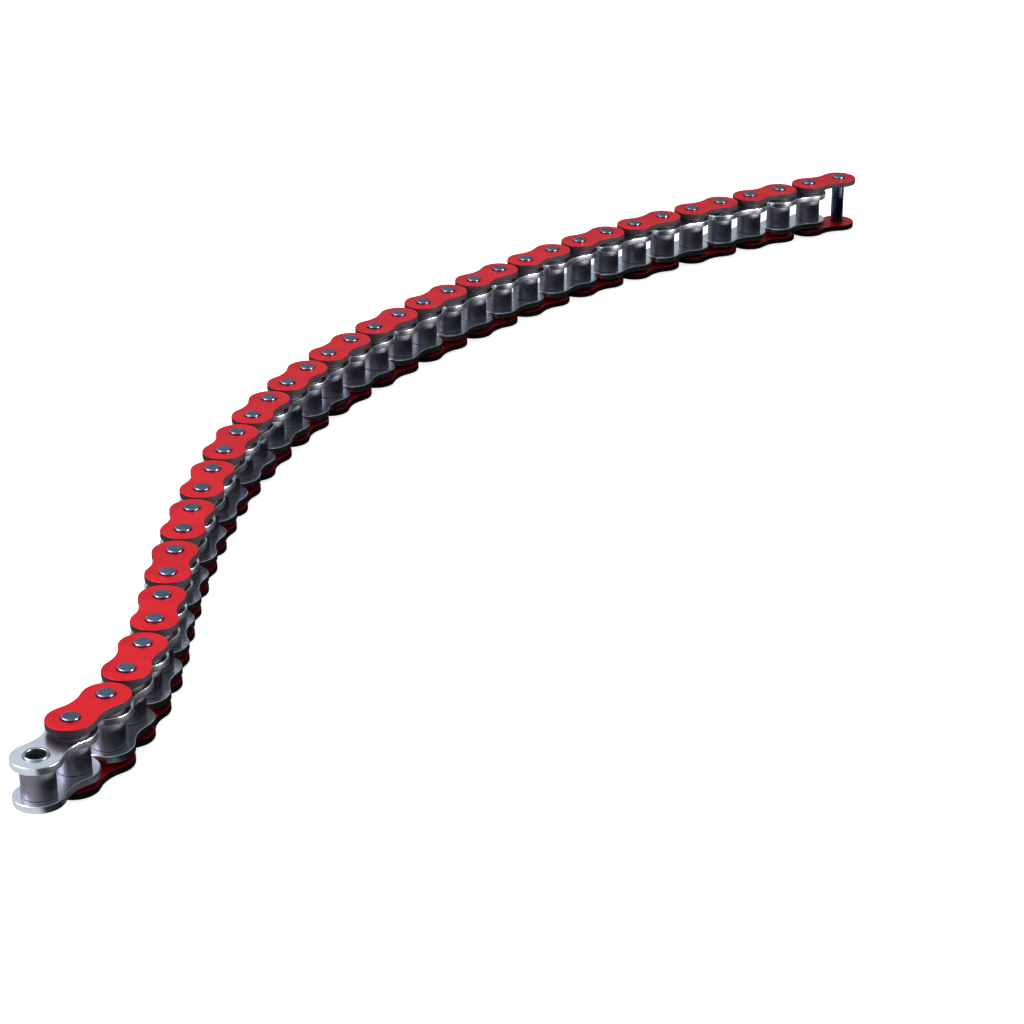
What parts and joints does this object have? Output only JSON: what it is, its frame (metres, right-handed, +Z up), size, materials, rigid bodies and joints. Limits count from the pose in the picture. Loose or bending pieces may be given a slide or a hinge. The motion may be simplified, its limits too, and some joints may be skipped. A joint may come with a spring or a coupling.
{
  "type": "roller chain strand",
  "caption": "Sealed roller chain strand lying on its side, red outer plates on steel pins, bright inner plates, rollers and rubber seals; every pin is a hinge.",
  "frame": {"origin": "on the floor, under the middle of the strand's bounding box, with the strand lying on its lower pin ends", "axes": "+Z up along the pins; +Y from the open inner link at the near end towards the far end; the strand bends towards +X"},
  "size_m": [0.2866, 0.517, 0.0238],
  "materials": {
    "red_plate": "smooth red coating with a soft gloss",
    "bright_steel": "polished plate steel, pale silver",
    "grey_steel": "satin grey turned steel",
    "pin_steel": "blue grey hardened steel",
    "seal_rubber": "matt black"
  },
  "bodies": {
    "inner_link_01": {"inner_plate_upper_01": "bright_steel", "inner_plate_lower_01": "bright_steel", "bushing_near_01": "grey_steel", "bushing_far_01": "grey_steel", "seal_upper_pin_1": "seal_rubber", "seal_lower_pin_1": "seal_rubber"},
    "outer_link_01": {"outer_plate_upper_01": "red_plate", "outer_plate_lower_01": "red_plate", "pin_near_01": "pin_steel", "pin_far_01": "pin_steel"},
    "inner_link_02": {"inner_plate_upper_02": "bright_steel", "inner_plate_lower_02": "bright_steel", "bushing_near_02": "grey_steel", "seal_upper_pin_2": "seal_rubber", "seal_lower_pin_2": "seal_rubber", "bushing_far_02": "grey_steel", "seal_upper_pin_3": "seal_rubber", "seal_lower_pin_3": "seal_rubber"},
    "outer_link_02": {"outer_plate_upper_02": "red_plate", "outer_plate_lower_02": "red_plate", "pin_near_02": "pin_steel", "pin_far_02": "pin_steel"},
    "inner_link_03": {"inner_link_03": "bright_steel"},
    "outer_link_03": {"outer_link_03": "red_plate"},
    "inner_link_04": {"inner_link_04": "bright_steel"},
    "outer_link_04": {"outer_link_04": "red_plate"},
    "inner_link_05": {"inner_link_05": "bright_steel"},
    "outer_link_05": {"outer_link_05": "red_plate"},
    "inner_link_06": {"inner_link_06": "bright_steel"},
    "outer_link_06": {"outer_link_06": "red_plate"},
    "inner_link_07": {"inner_link_07": "bright_steel"},
    "outer_link_07": {"outer_link_07": "red_plate"},
    "inner_link_08": {"inner_link_08": "bright_steel"},
    "outer_link_08": {"outer_link_08": "red_plate"},
    "inner_link_09": {"inner_link_09": "bright_steel"},
    "outer_link_09": {"outer_link_09": "red_plate"},
    "inner_link_10": {"inner_link_10": "bright_steel"},
    "outer_link_10": {"outer_link_10": "red_plate"},
    "inner_link_11": {"inner_link_11": "bright_steel"},
    "outer_link_11": {"outer_link_11": "red_plate"},
    "inner_link_12": {"inner_link_12": "bright_steel"},
    "outer_link_12": {"outer_link_12": "red_plate"},
    "inner_link_13": {"inner_link_13": "bright_steel"},
    "outer_link_13": {"outer_link_13": "red_plate"},
    "inner_link_14": {"inner_link_14": "bright_steel"},
    "outer_link_14": {"outer_link_14": "red_plate"},
    "inner_link_15": {"inner_link_15": "bright_steel"},
    "outer_link_15": {"outer_link_15": "red_plate"},
    "inner_link_16": {"inner_link_16": "bright_steel"},
    "outer_link_16": {"outer_link_16": "red_plate"},
    "inner_link_17": {"inner_link_17": "bright_steel"},
    "outer_link_17": {"outer_link_17": "red_plate"},
    "inner_link_18": {"inner_link_18": "bright_steel"},
    "outer_link_18": {"outer_link_18": "red_plate"},
    "inner_link_19": {"inner_link_19": "bright_steel"},
    "outer_link_19": {"outer_link_19": "red_plate"},
    "roller_near_01": {"roller_near_01": "grey_steel"},
    "roller_far_01": {"roller_far_01": "grey_steel"},
    "roller_near_02": {"roller_near_02": "grey_steel"},
    "roller_far_02": {"roller_far_02": "grey_steel"}
  },
  "joints": [
    {"name": "pin_01_hinge", "type": "hinge", "parent": "outer_link_01", "child": "inner_link_01", "pos_m": [-0.12822, -0.237, 0.0119], "axis": [0, 0, -1], "range_deg": [-108.5, 111.5]},
    {"name": "pin_02_hinge", "type": "hinge", "parent": "inner_link_02", "child": "outer_link_01", "pos_m": [-0.12028, -0.22326, 0.0119], "axis": [0, 0, 1], "range_deg": [-94, 126]},
    {"name": "pin_03_hinge", "type": "hinge", "parent": "outer_link_02", "child": "inner_link_02", "pos_m": [-0.11644, -0.20785, 0.0119], "axis": [0, 0, -1], "range_deg": [-114, 106]},
    {"name": "pin_04_hinge", "type": "hinge", "parent": "inner_link_03", "child": "outer_link_02", "pos_m": [-0.11368, -0.19222, 0.0119], "axis": [0, 0, 1], "range_deg": [-105.75, 114.25]},
    {"name": "pin_05_hinge", "type": "hinge", "parent": "outer_link_03", "child": "inner_link_03", "pos_m": [-0.11209, -0.17642, 0.0119], "axis": [0, 0, -1], "range_deg": [-114.25, 105.75]},
    {"name": "pin_06_hinge", "type": "hinge", "parent": "inner_link_04", "child": "outer_link_03", "pos_m": [-0.11168, -0.16055, 0.0119], "axis": [0, 0, 1], "range_deg": [-108.5, 111.5]},
    {"name": "pin_07_hinge", "type": "hinge", "parent": "outer_link_04", "child": "inner_link_04", "pos_m": [-0.11168, -0.14468, 0.0119], "axis": [0, 0, -1], "range_deg": [-108.58, 111.42]},
    {"name": "pin_08_hinge", "type": "hinge", "parent": "inner_link_05", "child": "outer_link_04", "pos_m": [-0.11128, -0.12881, 0.0119], "axis": [0, 0, 1], "range_deg": [-111.42, 108.58]},
    {"name": "pin_09_hinge", "type": "hinge", "parent": "outer_link_05", "child": "inner_link_05", "pos_m": [-0.1105, -0.11295, 0.0119], "axis": [0, 0, -1], "range_deg": [-108.58, 111.42]},
    {"name": "pin_10_hinge", "type": "hinge", "parent": "inner_link_06", "child": "outer_link_05", "pos_m": [-0.10932, -0.09712, 0.0119], "axis": [0, 0, 1], "range_deg": [-111.42, 108.58]},
    {"name": "pin_11_hinge", "type": "hinge", "parent": "outer_link_06", "child": "inner_link_06", "pos_m": [-0.10776, -0.08132, 0.0119], "axis": [0, 0, -1], "range_deg": [-108.58, 111.42]},
    {"name": "pin_12_hinge", "type": "hinge", "parent": "inner_link_07", "child": "outer_link_06", "pos_m": [-0.1058, -0.06557, 0.0119], "axis": [0, 0, 1], "range_deg": [-111.42, 108.58]},
    {"name": "pin_13_hinge", "type": "hinge", "parent": "outer_link_07", "child": "inner_link_07", "pos_m": [-0.10345, -0.04987, 0.0119], "axis": [0, 0, -1], "range_deg": [-107.19, 112.81]},
    {"name": "pin_14_hinge", "type": "hinge", "parent": "inner_link_08", "child": "outer_link_07", "pos_m": [-0.10034, -0.0343, 0.0119], "axis": [0, 0, 1], "range_deg": [-112.81, 107.19]},
    {"name": "pin_15_hinge", "type": "hinge", "parent": "outer_link_08", "child": "inner_link_08", "pos_m": [-0.09646, -0.01891, 0.0119], "axis": [0, 0, -1], "range_deg": [-107.19, 112.81]},
    {"name": "pin_16_hinge", "type": "hinge", "parent": "inner_link_09", "child": "outer_link_08", "pos_m": [-0.09184, -0.00372, 0.0119], "axis": [0, 0, 1], "range_deg": [-112.81, 107.19]},
    {"name": "pin_17_hinge", "type": "hinge", "parent": "outer_link_09", "child": "inner_link_09", "pos_m": [-0.08647, 0.01122, 0.0119], "axis": [0, 0, -1], "range_deg": [-107.19, 112.81]},
    {"name": "pin_18_hinge", "type": "hinge", "parent": "inner_link_10", "child": "outer_link_09", "pos_m": [-0.08038, 0.02588, 0.0119], "axis": [0, 0, 1], "range_deg": [-112.81, 107.19]},
    {"name": "pin_19_hinge", "type": "hinge", "parent": "outer_link_10", "child": "inner_link_10", "pos_m": [-0.07358, 0.04022, 0.0119], "axis": [0, 0, -1], "range_deg": [-107.19, 112.81]},
    {"name": "pin_20_hinge", "type": "hinge", "parent": "outer_link_10", "child": "inner_link_11", "pos_m": [-0.06608, 0.05421, 0.0119], "axis": [0, 0, -1], "range_deg": [-112.81, 107.19]},
    {"name": "pin_21_hinge", "type": "hinge", "parent": "inner_link_11", "child": "outer_link_11", "pos_m": [-0.05791, 0.06782, 0.0119], "axis": [0, 0, 1], "range_deg": [-108.33, 111.67]},
    {"name": "pin_22_hinge", "type": "hinge", "parent": "outer_link_11", "child": "inner_link_12", "pos_m": [-0.04934, 0.08119, 0.0119], "axis": [0, 0, -1], "range_deg": [-111.67, 108.33]},
    {"name": "pin_23_hinge", "type": "hinge", "parent": "inner_link_12", "child": "outer_link_12", "pos_m": [-0.04038, 0.0943, 0.0119], "axis": [0, 0, 1], "range_deg": [-108.33, 111.67]},
    {"name": "pin_24_hinge", "type": "hinge", "parent": "outer_link_12", "child": "inner_link_13", "pos_m": [-0.03105, 0.10714, 0.0119], "axis": [0, 0, -1], "range_deg": [-111.67, 108.33]},
    {"name": "pin_25_hinge", "type": "hinge", "parent": "inner_link_13", "child": "outer_link_13", "pos_m": [-0.02135, 0.11971, 0.0119], "axis": [0, 0, 1], "range_deg": [-108.33, 111.67]},
    {"name": "pin_26_hinge", "type": "hinge", "parent": "outer_link_13", "child": "inner_link_14", "pos_m": [-0.01129, 0.13198, 0.0119], "axis": [0, 0, -1], "range_deg": [-111.67, 108.33]},
    {"name": "pin_27_hinge", "type": "hinge", "parent": "inner_link_14", "child": "outer_link_14", "pos_m": [-0.00088, 0.14397, 0.0119], "axis": [0, 0, 1], "range_deg": [-108.08, 111.92]},
    {"name": "pin_28_hinge", "type": "hinge", "parent": "outer_link_14", "child": "inner_link_15", "pos_m": [0.00993, 0.15559, 0.0119], "axis": [0, 0, -1], "range_deg": [-111.92, 108.08]},
    {"name": "pin_29_hinge", "type": "hinge", "parent": "inner_link_15", "child": "outer_link_15", "pos_m": [0.02113, 0.16685, 0.0119], "axis": [0, 0, 1], "range_deg": [-108.08, 111.92]},
    {"name": "pin_30_hinge", "type": "hinge", "parent": "outer_link_15", "child": "inner_link_16", "pos_m": [0.03269, 0.17773, 0.0119], "axis": [0, 0, -1], "range_deg": [-111.92, 108.08]},
    {"name": "pin_31_hinge", "type": "hinge", "parent": "inner_link_16", "child": "outer_link_16", "pos_m": [0.04461, 0.18821, 0.0119], "axis": [0, 0, 1], "range_deg": [-108.08, 111.92]},
    {"name": "pin_32_hinge", "type": "hinge", "parent": "outer_link_16", "child": "inner_link_17", "pos_m": [0.05688, 0.19829, 0.0119], "axis": [0, 0, -1], "range_deg": [-111.92, 108.08]},
    {"name": "pin_33_hinge", "type": "hinge", "parent": "inner_link_17", "child": "outer_link_17", "pos_m": [0.06947, 0.20795, 0.0119], "axis": [0, 0, 1], "range_deg": [-108.5, 111.5]},
    {"name": "pin_34_hinge", "type": "hinge", "parent": "outer_link_17", "child": "inner_link_18", "pos_m": [0.08231, 0.21729, 0.0119], "axis": [0, 0, -1], "range_deg": [-111.5, 108.5]},
    {"name": "pin_35_hinge", "type": "hinge", "parent": "inner_link_18", "child": "outer_link_18", "pos_m": [0.09539, 0.22628, 0.0119], "axis": [0, 0, 1], "range_deg": [-108.5, 111.5]},
    {"name": "pin_36_hinge", "type": "hinge", "parent": "outer_link_18", "child": "inner_link_19", "pos_m": [0.10871, 0.23492, 0.0119], "axis": [0, 0, -1], "range_deg": [-111.5, 108.5]},
    {"name": "pin_37_hinge", "type": "hinge", "parent": "inner_link_19", "child": "outer_link_19", "pos_m": [0.12225, 0.24322, 0.0119], "axis": [0, 0, 1], "range_deg": [-108.5, 111.5]},
    {"name": "roller_near_01_spin", "type": "hinge", "parent": "inner_link_01", "child": "roller_near_01", "pos_m": [-0.13579, -0.25095, 0.0119], "axis": [0, 0, 1], "continuous": true},
    {"name": "roller_far_01_spin", "type": "hinge", "parent": "inner_link_01", "child": "roller_far_01", "pos_m": [-0.12822, -0.237, 0.0119], "axis": [0, 0, 1], "continuous": true},
    {"name": "roller_near_02_spin", "type": "hinge", "parent": "inner_link_02", "child": "roller_near_02", "pos_m": [-0.12028, -0.22326, 0.0119], "axis": [0, 0, 1], "continuous": true},
    {"name": "roller_far_02_spin", "type": "hinge", "parent": "inner_link_02", "child": "roller_far_02", "pos_m": [-0.11644, -0.20785, 0.0119], "axis": [0, 0, 1], "continuous": true}
  ]
}
